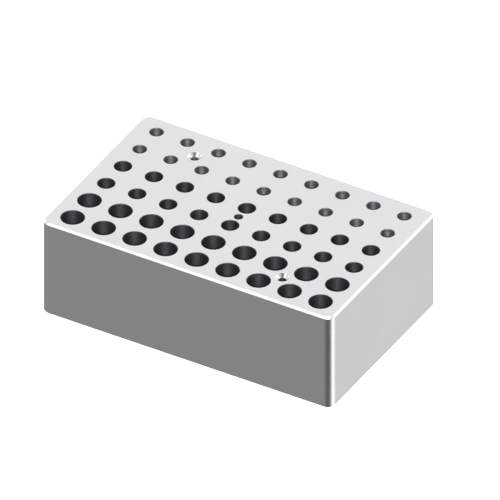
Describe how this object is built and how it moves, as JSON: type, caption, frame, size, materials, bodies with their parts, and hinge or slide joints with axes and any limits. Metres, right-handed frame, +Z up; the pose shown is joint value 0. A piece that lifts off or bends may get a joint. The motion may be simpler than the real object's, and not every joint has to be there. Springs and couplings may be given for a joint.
{
  "type": "heating block for a dry block heater",
  "caption": "Rectangular machined aluminium heating block with rows of tapered wells for large, medium and small tubes, a lifting thread and countersunk fixing holes.",
  "frame": {"origin": "middle of the underside, at the centre of the box's base", "axes": "+X along the rows of wells, +Y from the large wells at the front to the small ones at the back, +Z up out of the wells"},
  "size_m": [0.15, 0.0944, 0.05],
  "materials": {
    "aluminium": "milled and fine blasted, clear anodised"
  },
  "bodies": {
    "root": {"heating_block": "aluminium"}
  },
  "joints": []
}
